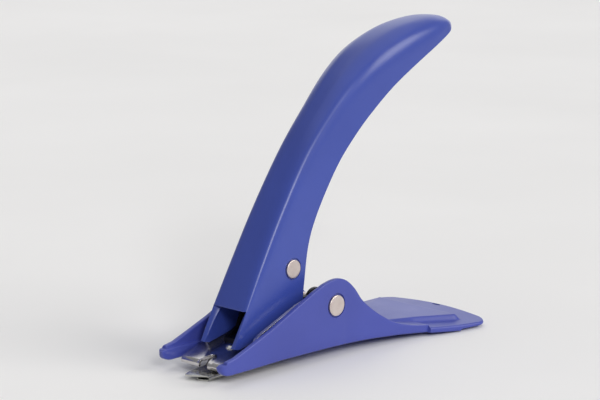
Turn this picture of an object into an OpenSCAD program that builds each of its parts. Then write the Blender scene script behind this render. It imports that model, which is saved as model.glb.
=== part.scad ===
// Lever staple remover: a forked base with a broad leaf, and a curved handle on
// a sprung steel jaw that turns with it about one rivet.
// Millimetres. +X runs from the nose to the leaf, +Z is up, z = 0 is the table.

/* [Base] */
// Width across the outside of the two prongs
fork_w = 30; // [29:0.5:32]
// Thickness of the cheek walls
cheek_t = 1.8; // [1.4:0.1:2.0]
// Width of the thick rail along the foot of each prong
rail_w = 2.8; // [2.4:0.1:3.0]
// Greatest width of the leaf
leaf_w = 49; // [46:1:52]
// Height of the leaf's top surface on its centre line, at the rear edge
leaf_top = 3.1; // [2.8:0.1:3.4]

/* [Handle] */
// Thickness of the handle's shell
shell_t = 1.8; // [1.5:0.1:2.0]
// Half width of the handle above its feet
handle_half_w = 7.8; // [7.6:0.1:8]
// Half width of the widest part of the grip
grip_half_w = 10.2; // [9.6:0.2:11]

/* [Steel] */
// Thickness of the jaw frame and of the core bracket
frame_t = 1.2; // [1:0.1:1.4]
// Gap between the jaw frame and each rail
frame_gap = 0.5; // [0.4:0.1:0.8]
// Thickness of the lifting blade's sheet
blade_t = 0.7; // [0.6:0.05:0.8]
// Width of the lifting blade
blade_w = 10.4; // [9.6:0.2:11]

/* [Rivets and spring] */
// Diameter of the pivot rivet's shank
pivot_d = 4; // [3.6:0.1:4.4]
// Diameter of the pivot rivet's head
pivot_head_d = 7; // [6.6:0.1:7.4]
// Diameter of the handle rivet's head
handle_head_d = 6.2; // [5.8:0.1:6.6]
// Running clearance round the pivot shank, radial
run_fit = 0.05; // [0.03:0.01:0.08]
// Diameter of the return springs' wire
wire_d = 0.9; // [0.7:0.1:1.0]

/* [Hidden] */

blue = [0.27, 0.33, 0.68];
steel = [0.78, 0.78, 0.80];
dark_steel = [0.45, 0.45, 0.47];

// The outlines below are drawn from a zero that lies this far in front of the
// middle of the object's length, where the origin is
origin_x = 0.3;
module centred() translate([origin_x, 0, 0]) children();

// Pivot axis and handle rivet axis, both along Y, as [x, z]
pivot = [-9.6, 17.6];
grip_pin = [-22.5, 30.8];

half_fork = fork_w / 2;
cheek_in = half_fork - cheek_t;
rail_in = half_fork - rail_w;
frame_half = rail_in - frame_gap;

// Outer and inner faces of the core bracket's arms, inside the handle
arm_out = handle_half_w - shell_t - 0.3;
arm_in = arm_out - frame_t;

// The jaw frame's floor climbs from the fingers towards the pivot.
// floor_at is the height of its upper face, under_at that of its lower face.
finger_x = -53.8;
floor_z = 5.0;
floor_rise = 0.23;
floor_end = -20;
floor_drop = frame_t * sqrt(1 + floor_rise * floor_rise);
function floor_at(x) = floor_z + (x - finger_x) * floor_rise;
function under_at(x) = floor_at(x) - floor_drop;

// ---------- helpers ----------

// Extrudes a side outline, drawn in x and z, from y = -w to y = w
module side(w) rotate([90, 0, 0]) linear_extrude(2 * w, center = true) children();

// Extrudes a side outline from y0 to y1
module slab(y0, y1) translate([0, (y0 + y1) / 2, 0]) side((y1 - y0) / 2) children();

// A cylinder along Y through the point p = [x, z]
module pin_y(p, r, y0, y1)
  translate([p[0], y0, p[1]]) rotate([-90, 0, 0]) cylinder(r = r, h = y1 - y0, $fn = 64);

// The same thing on both sides of the object
module both() {
  children();
  mirror([0, 1, 0]) children();
}

// Points along a circular or elliptical arc
function arc(c, rx, rz, a0, a1, n) =
  [for (i = [0:n]) let (a = a0 + (a1 - a0) * i / n) [c[0] + rx * cos(a), c[1] + rz * sin(a)]];

// Smooth curve through rows of numbers, with n steps between rows
function blend(a, b, c, d, t) =
  0.5 * (2 * b + (c - a) * t + (2 * a - 5 * b + 4 * c - d) * t * t
         + (3 * b - a - 3 * c + d) * t * t * t);
function smooth(rows, n) =
  let (last = len(rows) - 1)
  [for (i = [0:last - 1]) for (k = [0:n - 1])
     blend(rows[max(i - 1, 0)], rows[i], rows[i + 1], rows[min(i + 2, last)], k / n),
   rows[last]];

// A closed solid through rings that all have the same number of points
module loft(rings) {
  n = len(rings[0]);
  m = len(rings);
  polyhedron(
    points = [for (r = rings) for (p = r) p],
    faces = concat(
      [[for (j = [n - 1:-1:0]) j]],
      [for (i = [0:m - 2]) for (j = [0:n - 1]) let (k = (j + 1) % n)
        [i * n + j, (i + 1) * n + k, (i + 1) * n + j]],
      [for (i = [0:m - 2]) for (j = [0:n - 1]) let (k = (j + 1) % n)
        [i * n + j, i * n + k, (i + 1) * n + k]],
      [[for (j = [0:n - 1]) (m - 1) * n + j]]));
}

// ---------- base ----------

leaf_end = 59.4;
step_x = 31.8;
corner_r = 6;
half_leaf = leaf_w / 2;

// Half widths in plan: the cheeks, and the leaf that spreads behind them
cheek_plan = [[-62, half_fork], [-30, half_fork], [-8, half_fork], [-4, half_fork],
              [8, half_fork + 0.8], [20, half_fork + 2.2], [step_x, half_fork + 3.9]];
leaf_plan = [[step_x, half_fork + 4.9], [38, half_leaf - 2.6], [45, half_leaf - 1.0],
             [52, half_leaf - 0.1]];

function inset_side(rows, n, inset) = [for (p = smooth(rows, n)) [p[0], p[1] - inset]];
function leaf_half(inset) =
  concat(inset_side(leaf_plan, 3, inset),
         arc([leaf_end - 1.4 - corner_r, half_leaf - corner_r],
             corner_r - inset, corner_r - inset, 80, 14, 6),
         [[leaf_end - inset, 0]]);
function mirrored(half) =
  concat(half, [for (i = [len(half) - 1:-1:0]) if (half[i][1] != 0) [half[i][0], -half[i][1]]]);

module plan(inset = 0)
  polygon(mirrored(concat(inset_side(cheek_plan, 3, inset), leaf_half(inset))));

// Underside of the base, from the nose to the leaf
belly = [[-57, 3.6], [-48, 3.7], [-34, 4.0], [-12, 3.8], [5, 3.3], [20, 2.4],
         [step_x, 1.3], [42, 0.6], [46, 0], [leaf_end + 1, 0]];

// Top edge of a cheek: a straight ramp, the hump over the pivot, then a long
// hollow down to the leaf
ramp = [[-58.9, 8.3], [-55.5, 8.9], [-50, 10.9], [-40, 14.7], [-30, 19.2], [-20, 23.7]];
hump = [[-15.4, 25.5], [-11.6, 26.3], [-8.0, 26.3], [-4.4, 25.0], [-0.9, 21.9],
        [2.2, 17.8], [6.2, 14.2], [11.3, 10.6], [17.5, 7.2], [24, 5.2], [30, 4.1]];

module cheeks()
  intersection() {
    side(30) polygon(concat(ramp, smooth(hump, 3), [[step_x, 3.9], [step_x, 1.3]],
                            [for (i = [5:-1:0]) belly[i]], [[-58.9, 4.6]]));
    difference() {
      linear_extrude(40) plan();
      translate([0, 0, -1]) linear_extrude(42) plan(cheek_t);
    }
  }

// The rail along the foot of each prong, with its rounded front lug
rail_top = 7.4;
module rails()
  both() difference() {
    slab(-half_fork, -rail_in) polygon(concat(
      arc([-57.0, rail_top], 4.6, 3.8, 180, 270, 8),
      [[-48, 3.7], [-34, 4.0], [-22, 3.9], [-22, rail_top]]));
    // Rounded outer corner of the lug
    translate([-59.6, -half_fork + 2, -1]) difference() {
      translate([-3, -3, 0]) cube([3, 3, 12]);
      cylinder(r = 2, h = 40, center = true, $fn = 48);
    }
  }

// Ledges that the jaw frame comes down on at rest
ledge_w = 2;
module ledges()
  both() slab(-rail_in - 0.4, -rail_in + ledge_w)
    polygon([[-49, 3.7], [-42, 3.8], [-42, under_at(-42) - 0.08], [-49, under_at(-49) - 0.08]]);

// Floor between the cheeks
deck_front = -25;
deck_top = [[deck_front, 7.2], [2, 7.0], [14, 5.6], [22, 4.8], [step_x, 4.0]];
module deck()
  intersection() {
    linear_extrude(40) plan();
    side(30) polygon(concat(deck_top, [for (i = [6:-1:3]) belly[i]], [[deck_front, 3.9]]));
  }

// The leaf: its top falls gently to the rear and is crowned across, and its
// rim stands clear of the table on a sole set in from the edge
leaf_tilt = 1.7;
leaf_crown_r = 240;
sole_inset = 2.6;
rim_low = 0.9;
module leaf()
  intersection() {
    union() {
      translate([0, 0, rim_low]) linear_extrude(20) plan();
      linear_extrude(20) plan(sole_inset);
    }
    translate([leaf_end, 0, leaf_top - leaf_crown_r]) rotate([0, leaf_tilt - 90, 0])
      translate([0, 0, -5]) cylinder(r = leaf_crown_r, h = 60, $fn = 720);
    side(30) polygon(concat([for (i = [6:len(belly) - 1]) belly[i]],
                            [[leaf_end + 1, 12], [belly[6][0], 12]]));
  }

// Raised fan-shaped pad that fills the middle of the leaf
fan = [[8, 5], [20, 7.2], [34, 12.8], [46.4, 18.0], [47.6, 18.0], [49, 16.5]];
module pad()
  intersection() {
    linear_extrude(40) polygon(mirrored(fan));
    side(30) polygon([[8, 6.4], [20, 5.5], [34, 5.2], [45.6, 4.7], [49, 1.5], [8, 3]]);
  }

// Hollows under the floor and under the pad, crossed by ribs
rib_t = 1.4;
module hollow()
  difference() {
    union() {
      intersection() {
        translate([0, 0, -1]) linear_extrude(20) plan(3.4);
        side(30) polygon([[deck_front + 2, -1], [deck_front + 2, 5.6], [2, 5.4], [14, 4.2],
                          [27, 2.8], [27, -1]]);
      }
      translate([0, 0, -1]) linear_extrude(3.2)
        polygon(mirrored([[29, 8.5], [34, 10.6], [43.5, 14.6]]));
    }
    translate([-40, -rib_t / 2, -2]) cube([100, rib_t, 20]);
    for (x = [-12, 4, 20]) translate([x, -30, -2]) cube([rib_t, 60, 20]);
  }

// Small slot through the leaf near its rear edge
slot_half = 1.2;
slot_r = 0.6;
module slot()
  translate([leaf_end - 1.8, 0, -1]) linear_extrude(12)
    polygon(concat(arc([0, slot_half], slot_r, slot_r, 0, 180, 12),
                   arc([0, -slot_half], slot_r, slot_r, 180, 360, 12)));

// Shallow seats for the rivet heads
seat_depth = 0.5;

module base() color(blue) centred()
  difference() {
    union() {
      cheeks();
      rails();
      ledges();
      deck();
      leaf();
      pad();
    }
    hollow();
    slot();
    pin_y(pivot, pivot_d / 2 + 0.05, -20, 20);
    both() pin_y(pivot, pivot_head_d / 2 + 0.35, -half_fork - 1, -half_fork + seat_depth);
  }

// ---------- rivets ----------

head_t = 0.9;

// A rivet along Y: a flat head at -Y and a rolled tubular end at +Y
module rivet(p, r, head_r, reach, hole_r) {
  pin_y(p, r, -reach, reach);
  translate([p[0], -reach, p[1]]) rotate([90, 0, 0]) rotate_extrude($fn = 64)
    polygon([[0, 0], [head_r, 0], [head_r, head_t - 0.3], [head_r - 0.3, head_t], [0, head_t]]);
  translate([p[0], reach, p[1]]) rotate([-90, 0, 0]) rotate_extrude($fn = 64)
    polygon(concat([[0, 0], [head_r - 0.4, 0]],
                   arc([head_r - 1.0, 0.3], 0.6, head_t - 0.3, 0, 90, 4),
                   [[hole_r, head_t - 0.1], [hole_r, 0.1], [0, 0.1]]));
}

module pivot_rivet() color(steel) centred()
  rivet(pivot, pivot_d / 2, pivot_head_d / 2, half_fork - seat_depth, 1.1);

washer_r = 4.2;
washer_t = 1.2;
washer_play = 0.1;
module pivot_washers() color(dark_steel) centred()
  both() difference() {
    pin_y(pivot, washer_r, -cheek_in + washer_play, -cheek_in + washer_play + washer_t);
    pin_y(pivot, pivot_d / 2 + run_fit, -20, 20);
  }

// Tubes on the pivot rivet that hold the core bracket central in the jaw frame
// and carry the springs
sleeve_r = 3;
module pivot_sleeves() color(steel) centred()
  both() difference() {
    pin_y(pivot, sleeve_r, -frame_half + frame_t, -arm_out);
    pin_y(pivot, pivot_d / 2 + run_fit, -20, 20);
  }

// ---------- return springs ----------

coil_r = sleeve_r + 0.45 + wire_d / 2;
coil_y = (frame_half - frame_t + arm_out) / 2;
turns = 3;
coil_pitch = wire_d + 0.15;
per_turn = 16;
enter_a = 272;
leave_a = 238;
wind = turns * 360 + leave_a - enter_a;
coil_n = ceil(wind / 360 * per_turn);
coil_half = coil_pitch * wind / 720;
function on_coil(a) = [pivot[0] + coil_r * cos(a), pivot[1] + coil_r * sin(a)];
function along(p, a, d) = [p[0] - d * sin(a), p[1] + d * cos(a)];

// Wire centre line: the leg that bears on the jaw frame's floor, the coil, then
// the leg that bears on the base
front_leg = along(on_coil(enter_a), enter_a, -12.6);
rear_leg = along(on_coil(leave_a), leave_a, 12.6);
wire_path = concat(
  [[front_leg[0], -coil_half, front_leg[1]]],
  [for (i = [0:coil_n]) let (p = on_coil(enter_a + wind * i / coil_n))
    [p[0], -coil_half + 2 * coil_half * i / coil_n, p[1]]],
  [[rear_leg[0], coil_half, rear_leg[1]]]);

function unit(v) = v / norm(v);
function ring_at(path, i, r, n) =
  let (last = len(path) - 1,
       t = unit(path[min(i + 1, last)] - path[max(i - 1, 0)]),
       a = unit(cross(t, [0, 1, 0])),
       b = cross(a, t))
  [for (k = [0:n - 1]) path[i] + r * cos(360 * k / n) * a + r * sin(360 * k / n) * b];

module return_springs() color(dark_steel) centred()
  both() translate([0, -coil_y, 0])
    loft([for (i = [0:len(wire_path) - 1]) ring_at(wire_path, i, wire_d / 2, 8)]);

// ---------- handle ----------

g = grip_half_w;
w0 = handle_half_w;

// Cross-sections from below the feet to the tip of the grip: front x, front z,
// rear x, rear z, half width at the rear rim, half width between the two front
// ridges, and how far the front is crowned
handle_rows = [
  [-53.0, 6.0, -26.0, -9.0, w0, w0, 0.3],
  [-43.9, 20.4, -19.4, 6.5, w0, w0, 0.3],
  [-35.9, 34.6, -17.6, 24.0, w0, w0 - 0.2, 0.3],
  [-26.7, 49.8, -14.3, 42.0, w0 - 0.2, w0 - 0.8, 0.4],
  [-14.8, 67.2, -4.3, 60.4, w0 + 0.2, w0 - 1.8, 0.5],
  [-4.0, 80.3, 6.0, 72.2, g - 1.6, g - 4.2, 1.2],
  [5.6, 91.3, 16.2, 81.2, g - 0.6, g - 2.6, 2.6],
  [16.3, 98.8, 24.0, 86.9, g, g - 1.4, 3.6],
  [30.5, 104.0, 33.8, 92.8, g - 0.2, g - 1.2, 3.8],
  [44.5, 106.3, 45.2, 98.6, g - 1.4, g - 2.2, 3.4],
  [53.7, 106.2, 53.8, 101.2, g - 3.6, g - 4.2, 2.4],
  [59.0, 104.8, 58.8, 102.2, g - 6.4, g - 6.8, 1.3],
  [61.0, 103.2, 60.7, 102.4, 1.2, 1.1, 0.4]];
handle_sections = smooth(handle_rows, 3);

// One cross-section as points [y, depth]: flanks that spread from the ridges to
// the rim, a crowned front and a rounded shoulder between them
shoulder_r = 1.8;
function section(rim, ridge, d, crown, r) =
  let (rr = min(r, ridge * 0.6, d * 0.45))
  concat([[-rim, d]],
         [for (i = [0:4]) let (a = 22.5 * i)
           [-ridge + rr * (1 - cos(a)), crown + rr * (1 - sin(a))]],
         [for (i = [1:5]) let (u = i / 3 - 1) [u * (ridge - rr), crown * pow(u, 4)]],
         [for (i = [4:-1:0]) let (a = 22.5 * i)
           [ridge - rr * (1 - cos(a)), crown + rr * (1 - sin(a))]],
         [[rim, d]]);

function depth(row) = norm([row[2] - row[0], row[3] - row[1]]);

// Places a cross-section in space: depth runs from the front towards the rear
function placed(row, pts, lift) =
  let (dx = (row[2] - row[0]) / depth(row), dz = (row[3] - row[1]) / depth(row))
  [for (p = pts) [row[0] + dx * (p[1] + lift), p[0], row[1] + dz * (p[1] + lift)]];

module handle_outer()
  loft([for (row = handle_sections)
    placed(row, section(row[4], row[5], depth(row), row[6], shoulder_r), 0)]);

module handle_inner()
  loft([for (i = [0:len(handle_sections) - 6]) let (row = handle_sections[i])
    placed(row, section(row[4] - shell_t, row[5] - shell_t, depth(row), row[6], 1.0), shell_t)]);

// The flanks end this far above the jaw frame's floor
foot_gap = 2.0;

// Clears the shell below its feet, and sets the front edges of the two legs a
// little behind the front face
mouth_z = 20.2;
leg_front = [-44.0, -50.8];
module foot_cut() {
  side(30) polygon([[-70, floor_at(-70) + foot_gap], [10, floor_at(10) + foot_gap],
                    [10, -40], [-70, -40]]);
  side(30) polygon([[-70, mouth_z], [leg_front[0] + 1.1, mouth_z], [leg_front[0] + 0.6, 18],
                    [leg_front[1] + 2.3, 8], [leg_front[1] + 2.3, -10], [-70, -10]]);
}

// Opens the mouth between the two legs
module mouth_cut()
  side(w0 - shell_t) polygon([[-70, mouth_z], [-38, mouth_z], [-38, -10], [-70, -10]]);

// Thin ribs across the hollow of the grip: x, z and lean
grip_ribs = [[-19, 53, 38], [-5, 72, 44], [13, 87, 52], [34, 97, 72]];
module ribs()
  for (s = grip_ribs)
    intersection() {
      handle_inner();
      translate([s[0], 0, s[1]]) rotate([0, s[2], 0])
        translate([-12, -20, 0]) cube([19, 40, 1.2]);
    }

module handle() color(blue) centred()
  difference() {
    handle_outer();
    difference() {
      handle_inner();
      ribs();
    }
    foot_cut();
    mouth_cut();
    pin_y(grip_pin, 1.8, -20, 20);
    both() pin_y(grip_pin, handle_head_d / 2 + 0.3, -w0 - 1, -w0 + 0.4);
  }

handle_shank_r = 1.75;
module handle_rivet() color(steel) centred()
  rivet(grip_pin, handle_shank_r, handle_head_d / 2, w0 - 0.4, 0.9);

// ---------- steel core inside the handle ----------

ear_r = 4.5;
boss_r = 3.9;
web_front = -40.6;

module handle_spacer() color(steel) centred()
  difference() {
    pin_y(grip_pin, 2.8, -arm_in, arm_in);
    pin_y(grip_pin, handle_shank_r + 0.05, -20, 20);
  }

// One arm: up inside the handle to its rivet, and back to the pivot
module arm()
  polygon(concat(
    [[web_front, floor_at(web_front)], [web_front, floor_at(web_front) + frame_t], [-35.5, 12],
     [-30.5, 22.5]],
    arc(grip_pin, boss_r, boss_r, 155, 0, 10),
    [[-18.4, 22.5], [-17.0, 20.4], [-15.2, 19.8]],
    arc(pivot, ear_r, ear_r, 146, -95, 16),
    [[-16, floor_at(-16)], [floor_end, floor_at(floor_end)]]));

module core_bracket() color(steel) centred()
  difference() {
    union() {
      both() slab(-arm_out, -arm_in) arm();
      side(arm_out) polygon([[web_front, floor_at(web_front)], [floor_end, floor_at(floor_end)],
                             [floor_end, floor_at(floor_end) + frame_t],
                             [web_front, floor_at(web_front) + frame_t]]);
    }
    pin_y(grip_pin, handle_shank_r + 0.05, -20, 20);
    pin_y(pivot, pivot_d / 2 + run_fit, -20, 20);
    blade_rivet_holes();
  }

// ---------- jaw frame ----------

// Side walls of the frame: their top edge runs just inside the cheeks' ramps,
// then rounds the pivot
wall_x = -43.8;
wall_r = 6.4;
module frame_wall()
  polygon(concat(
    [[wall_x, under_at(wall_x)], [wall_x, 10.9], [wall_x + 0.4, 11.8], [wall_x + 1.2, 12.4],
     [-41.0, 13.3], [-35.3, 15.6], [-24.6, 19.8]],
    arc(pivot, wall_r, wall_r, 107, -70, 18),
    [[-16, under_at(-16)]]));

// Floor with two fingers that curl down in front of a central notch
finger_low = 2.8;
module frame_floor()
  difference() {
    side(frame_half) polygon(concat(
      [[floor_end, floor_at(floor_end)]],
      arc([finger_x + 0.3, floor_z - 1.5], 1.5, 1.5, 95, 180, 6),
      [[finger_x - 1.2, finger_low], [finger_x - 0.3, finger_low]],
      arc([finger_x + 0.4, floor_z - 1.9], 0.7, 0.6, 180, 110, 4),
      [[finger_x + 1.2, under_at(finger_x + 1.2)], [floor_end, under_at(floor_end)]]));
    // The notch, and the rounded outer corners of the fingers
    translate([0, 0, -1]) linear_extrude(12)
      polygon([[-60, -2.2], [-54.4, -1.7], [-51, -0.5], [-50.2, 0], [-51, 0.5], [-54.4, 1.7],
               [-60, 2.2]]);
    both() translate([0, 0, -1]) linear_extrude(12)
      polygon([[-60, -frame_half - 1], [-50.5, -frame_half - 1], [-51.6, -frame_half + 0.3],
               [-53, -frame_half + 0.9], [-60, -frame_half + 0.9]]);
  }

module jaw_frame() color(steel) centred()
  difference() {
    union() {
      both() slab(-frame_half, -frame_half + frame_t) frame_wall();
      frame_floor();
    }
    pin_y(pivot, pivot_d / 2 + run_fit, -20, 20);
    blade_rivet_holes();
  }

// ---------- lifting blade ----------

tip_x = -61.5;
shoulder_x = -59;
joggle_x = [-51, -47.4];
blade_top = 2.0;
tip_top = 1.7;
tip_t = 0.4;
blade_half = blade_w / 2;
tab_half = 4.4;
tab_end = -29;

// Sheet of the blade in side view: flat on the table in front, up behind the
// fingers, then flat against the underside of the frame
module blade_sheet()
  side(blade_half + 2) polygon([
    [tip_x, tip_top], [shoulder_x, blade_top], [joggle_x[0], blade_top],
    [joggle_x[1], under_at(joggle_x[1])], [tab_end, under_at(tab_end)],
    [tab_end, under_at(tab_end) - blade_t],
    [joggle_x[1] + 0.4, under_at(joggle_x[1] + 0.4) - blade_t],
    [joggle_x[0] + 0.4, blade_top - blade_t], [shoulder_x, blade_top - blade_t],
    [tip_x, tip_top - tip_t]]);

// The near edge stands out further than the far one, because it is rolled
roll_side = blade_half + 0.7;
near_edge = [[tip_x, 1.8], [-60.8, -0.7], [-59.8, -3.0], [-58.9, -4.8], [-58.2, -roll_side]];
far_edge = [[joggle_x[0], 4.2], [-60.4, 2.35], [-61.2, 2.1]];
module blade_plan()
  translate([0, 0, -1]) linear_extrude(14) polygon(concat(near_edge,
    [[joggle_x[0], -roll_side], [joggle_x[1], -tab_half], [tab_end + 2, -tab_half],
     [tab_end, -2.4], [tab_end, 2.4], [tab_end + 2, tab_half], [joggle_x[1], tab_half]],
    far_edge));

// The near half of the sheet is rolled under into a flat tube, open at the
// front, where it is cut back to follow the blade's point
roll_r = 0.9;
roll_t = 0.45;
roll_in = -1.7;
module roll_outline(inset)
  polygon(concat(
    arc([roll_r - roll_side, roll_r], roll_r - inset, roll_r - inset, 90, 270, 10),
    arc([roll_in, roll_r], roll_r - inset, roll_r - inset, -90, 90, 10)));
module blade_roll()
  difference() {
    translate([tip_x, 0, 0]) rotate([90, 0, 90]) linear_extrude(joggle_x[0] - tip_x)
      difference() {
        roll_outline(0);
        roll_outline(roll_t);
      }
    translate([0, 0, -1]) linear_extrude(6)
      polygon(concat([[tip_x - 2, 0]], [for (p = near_edge) [p[0] + 0.5, p[1]]],
                     [[shoulder_x, -roll_side - 2], [tip_x - 2, -roll_side - 2]]));
  }

module lifting_blade() color(steel) centred()
  difference() {
    union() {
      intersection() {
        blade_sheet();
        blade_plan();
      }
      blade_roll();
    }
    blade_rivet_holes();
  }

// Two rivets hold the blade under the frame. The rear one holds the core
// bracket on top of it too. Each is [x, thickness above the frame's floor].
blade_rivet_at = [[-43.1, 0], [-34.5, frame_t]];
blade_rivet_r = 1.2;
blade_tail_t = 0.5;

// Axes normal to the frame's floor, through its upper face
module on_floor(x)
  translate([x, 0, floor_at(x)]) rotate([0, -atan(floor_rise), 0]) children();

module blade_rivet_holes()
  for (b = blade_rivet_at)
    on_floor(b[0]) cylinder(r = blade_rivet_r + 0.02, h = 12, center = true, $fn = 48);

module blade_rivets() color(steel) centred()
  for (b = blade_rivet_at) on_floor(b[0]) {
    translate([0, 0, -frame_t - blade_t - blade_tail_t])
      cylinder(r = blade_rivet_r, h = b[1] + frame_t + blade_t + 2 * blade_tail_t, $fn = 48);
    translate([0, 0, b[1]]) rotate_extrude($fn = 48)
      polygon(concat([[0, 0]], arc([0, 0], 1.9, 0.9, 0, 90, 6)));
    translate([0, 0, -frame_t - blade_t - blade_tail_t])
      cylinder(r = 1.9, h = blade_tail_t, $fn = 48);
  }

base();
pivot_rivet();
pivot_washers();
return_springs();
handle();
handle_rivet();
handle_spacer();
core_bracket();
jaw_frame();
lifting_blade();
blade_rivets();
pivot_sleeves();
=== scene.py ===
import math

import bmesh
import bpy
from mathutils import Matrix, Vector


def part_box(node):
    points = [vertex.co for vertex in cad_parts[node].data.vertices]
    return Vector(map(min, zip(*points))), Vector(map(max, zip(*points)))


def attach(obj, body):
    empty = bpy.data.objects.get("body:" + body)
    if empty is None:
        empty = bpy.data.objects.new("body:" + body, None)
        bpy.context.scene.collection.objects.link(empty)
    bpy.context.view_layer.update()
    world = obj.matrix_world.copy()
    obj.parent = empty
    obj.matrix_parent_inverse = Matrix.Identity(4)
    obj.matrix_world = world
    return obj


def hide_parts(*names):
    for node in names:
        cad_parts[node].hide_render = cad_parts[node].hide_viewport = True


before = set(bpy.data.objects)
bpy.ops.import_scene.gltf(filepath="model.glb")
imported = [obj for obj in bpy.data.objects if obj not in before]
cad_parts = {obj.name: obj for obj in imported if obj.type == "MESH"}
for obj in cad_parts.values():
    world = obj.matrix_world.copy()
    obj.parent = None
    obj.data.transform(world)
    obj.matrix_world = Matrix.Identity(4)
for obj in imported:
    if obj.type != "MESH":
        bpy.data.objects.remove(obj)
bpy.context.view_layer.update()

# Meshes are in metres. What is drawn in millimetres goes through at() or MM.
MM = 0.001

# Fixed points, from the CAD frame: the axes of the pivot and of the grip's rivet
PIVOT_LO, PIVOT_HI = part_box("pivot_rivet")
PIVOT = Vector(((PIVOT_LO[0] + PIVOT_HI[0]) / 2, 0, (PIVOT_LO[2] + PIVOT_HI[2]) / 2))
GRIP_LO, GRIP_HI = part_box("handle_rivet")
GRIP_PIN = Vector(((GRIP_LO[0] + GRIP_HI[0]) / 2, 0, (GRIP_LO[2] + GRIP_HI[2]) / 2))

# The outlines are drawn in millimetres from the CAD's own drawing zero, where
# the pivot stands at PIVOT_X. DRAW_X is that zero's place along the frame's X.
PIVOT_X = -9.6
PIVOT_Z = PIVOT[2] / MM
DRAW_X = PIVOT[0] / MM - PIVOT_X


def at(x, y, z):
    """A point drawn in millimetres, as a point of the frame in metres."""
    return Vector(((x + DRAW_X) * MM, y * MM, z * MM))


# ---------------------------------------------------------------- mesh tools

def smooth_rows(rows, steps):
    """A Catmull-Rom curve through rows of numbers, with steps between rows."""
    out = []
    last = len(rows) - 1
    for i in range(last):
        a, b = rows[max(i - 1, 0)], rows[i]
        c, d = rows[i + 1], rows[min(i + 2, last)]
        for k in range(steps):
            t = k / steps
            out.append([0.5 * (2 * q + (r - p) * t + (2 * p - 5 * q + 4 * r - s) * t * t
                               + (3 * q - p - 3 * r + s) * t ** 3)
                        for p, q, r, s in zip(a, b, c, d)])
    out.append(list(rows[-1]))
    return out


def lerp_at(points, x):
    """Height of a polyline of (x, z) points at x."""
    if x <= points[0][0]:
        return points[0][1]
    for (x0, z0), (x1, z1) in zip(points, points[1:]):
        if x <= x1:
            return z0 + (z1 - z0) * (x - x0) / (x1 - x0)
    return points[-1][1]


def arc(cx, cz, rx, rz, start, end, steps):
    """Points along an arc, as (x, z)."""
    return [(cx + rx * math.cos(math.radians(start + (end - start) * i / steps)),
             cz + rz * math.sin(math.radians(start + (end - start) * i / steps)))
            for i in range(steps + 1)]


def ease(t):
    """Smooth step from 0 to 1."""
    t = min(max(t, 0.0), 1.0)
    return t * t * (3 - 2 * t)


def new_object(name, mesh_builder, material, body):
    """A mesh object that mesh_builder fills, with its material and body."""
    bm = bmesh.new()
    mesh_builder(bm)
    bmesh.ops.recalc_face_normals(bm, faces=bm.faces)
    mesh = bpy.data.meshes.new(name)
    bm.to_mesh(mesh)
    bm.free()
    for polygon in mesh.polygons:
        polygon.use_smooth = True
    obj = bpy.data.objects.new(name, mesh)
    bpy.context.collection.objects.link(obj)
    obj.data.materials.append(material)
    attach(obj, body)
    return obj


def grid(bm, rows, closed=False):
    """Quads between rows of points; closed joins each row's end to its start."""
    made = [[bm.verts.new(p) for p in row] for row in rows]
    for upper, lower in zip(made, made[1:]):
        count = len(upper)
        for j in range(count if closed else count - 1):
            k = (j + 1) % count
            bm.faces.new((upper[j], upper[k], lower[k], lower[j]))
    return made


def bridge(bm, one, other):
    """Quads between two rows of vertices that run side by side."""
    for a, b, c, d in zip(one, one[1:], other[1:], other):
        bm.faces.new((a, b, c, d))


def plate(bm, top_rows, low_rows, sides=("start", "end", "first", "last")):
    """A closed sheet from its two faces, each given as rows of points. sides says
    which of its four edges are closed: the first and last row, and the start
    and end of every row."""
    top, low = grid(bm, top_rows), grid(bm, low_rows)
    if "first" in sides:
        bridge(bm, top[0], low[0])
    if "last" in sides:
        bridge(bm, top[-1], low[-1])
    if "start" in sides:
        bridge(bm, [row[0] for row in top], [row[0] for row in low])
    if "end" in sides:
        bridge(bm, [row[-1] for row in top], [row[-1] for row in low])
    return top, low


def close_holes(bm):
    """Fills every loop of open edges with a face."""
    bmesh.ops.holes_fill(bm, edges=[e for e in bm.edges if len(e.link_faces) == 1], sides=0)


def slab(bm, outline, y0, y1):
    """A closed plate: an outline of (x, z) points drawn in mm, from y0 to y1."""
    near = [bm.verts.new(at(x, y0, z)) for x, z in outline]
    far = [bm.verts.new(at(x, y1, z)) for x, z in outline]
    count = len(outline)
    bm.faces.new(near)
    bm.faces.new(list(reversed(far)))
    for i in range(count):
        k = (i + 1) % count
        bm.faces.new((near[i], far[i], far[k], near[k]))


def lathe(bm, centre, axis_sign, profile, steps=72):
    """Turns (radius, height) points in mm about the Y axis through centre."""
    rows = []
    for radius, height in profile:
        ring = []
        for i in range(steps):
            a = 2 * math.pi * i / steps
            ring.append(centre + Vector((radius * math.cos(a), axis_sign * height,
                                         radius * math.sin(a))) * MM)
        rows.append(ring)
    made = grid(bm, rows, closed=True)
    for ring in (made[0], made[-1]):
        bm.faces.new(ring)


def sweep(bm, path, radius, sides=12):
    """A tube of the given radius in mm along path points in mm, with its ends closed flat."""
    points = [Vector(p) for p in path]
    rings = []
    side = Vector((0, 1, 0))
    for i, point in enumerate(points):
        tangent = (points[min(i + 1, len(points) - 1)] - points[max(i - 1, 0)]).normalized()
        side = (side - tangent * side.dot(tangent)).normalized()
        up = tangent.cross(side)
        ring = [at(*(point + (side * math.cos(a) + up * math.sin(a)) * radius))
                for a in (2 * math.pi * k / sides for k in range(sides))]
        rings.append(ring)
    made = grid(bm, rings, closed=True)
    for ring in (made[0], made[-1]):
        bm.faces.new(ring)


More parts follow.
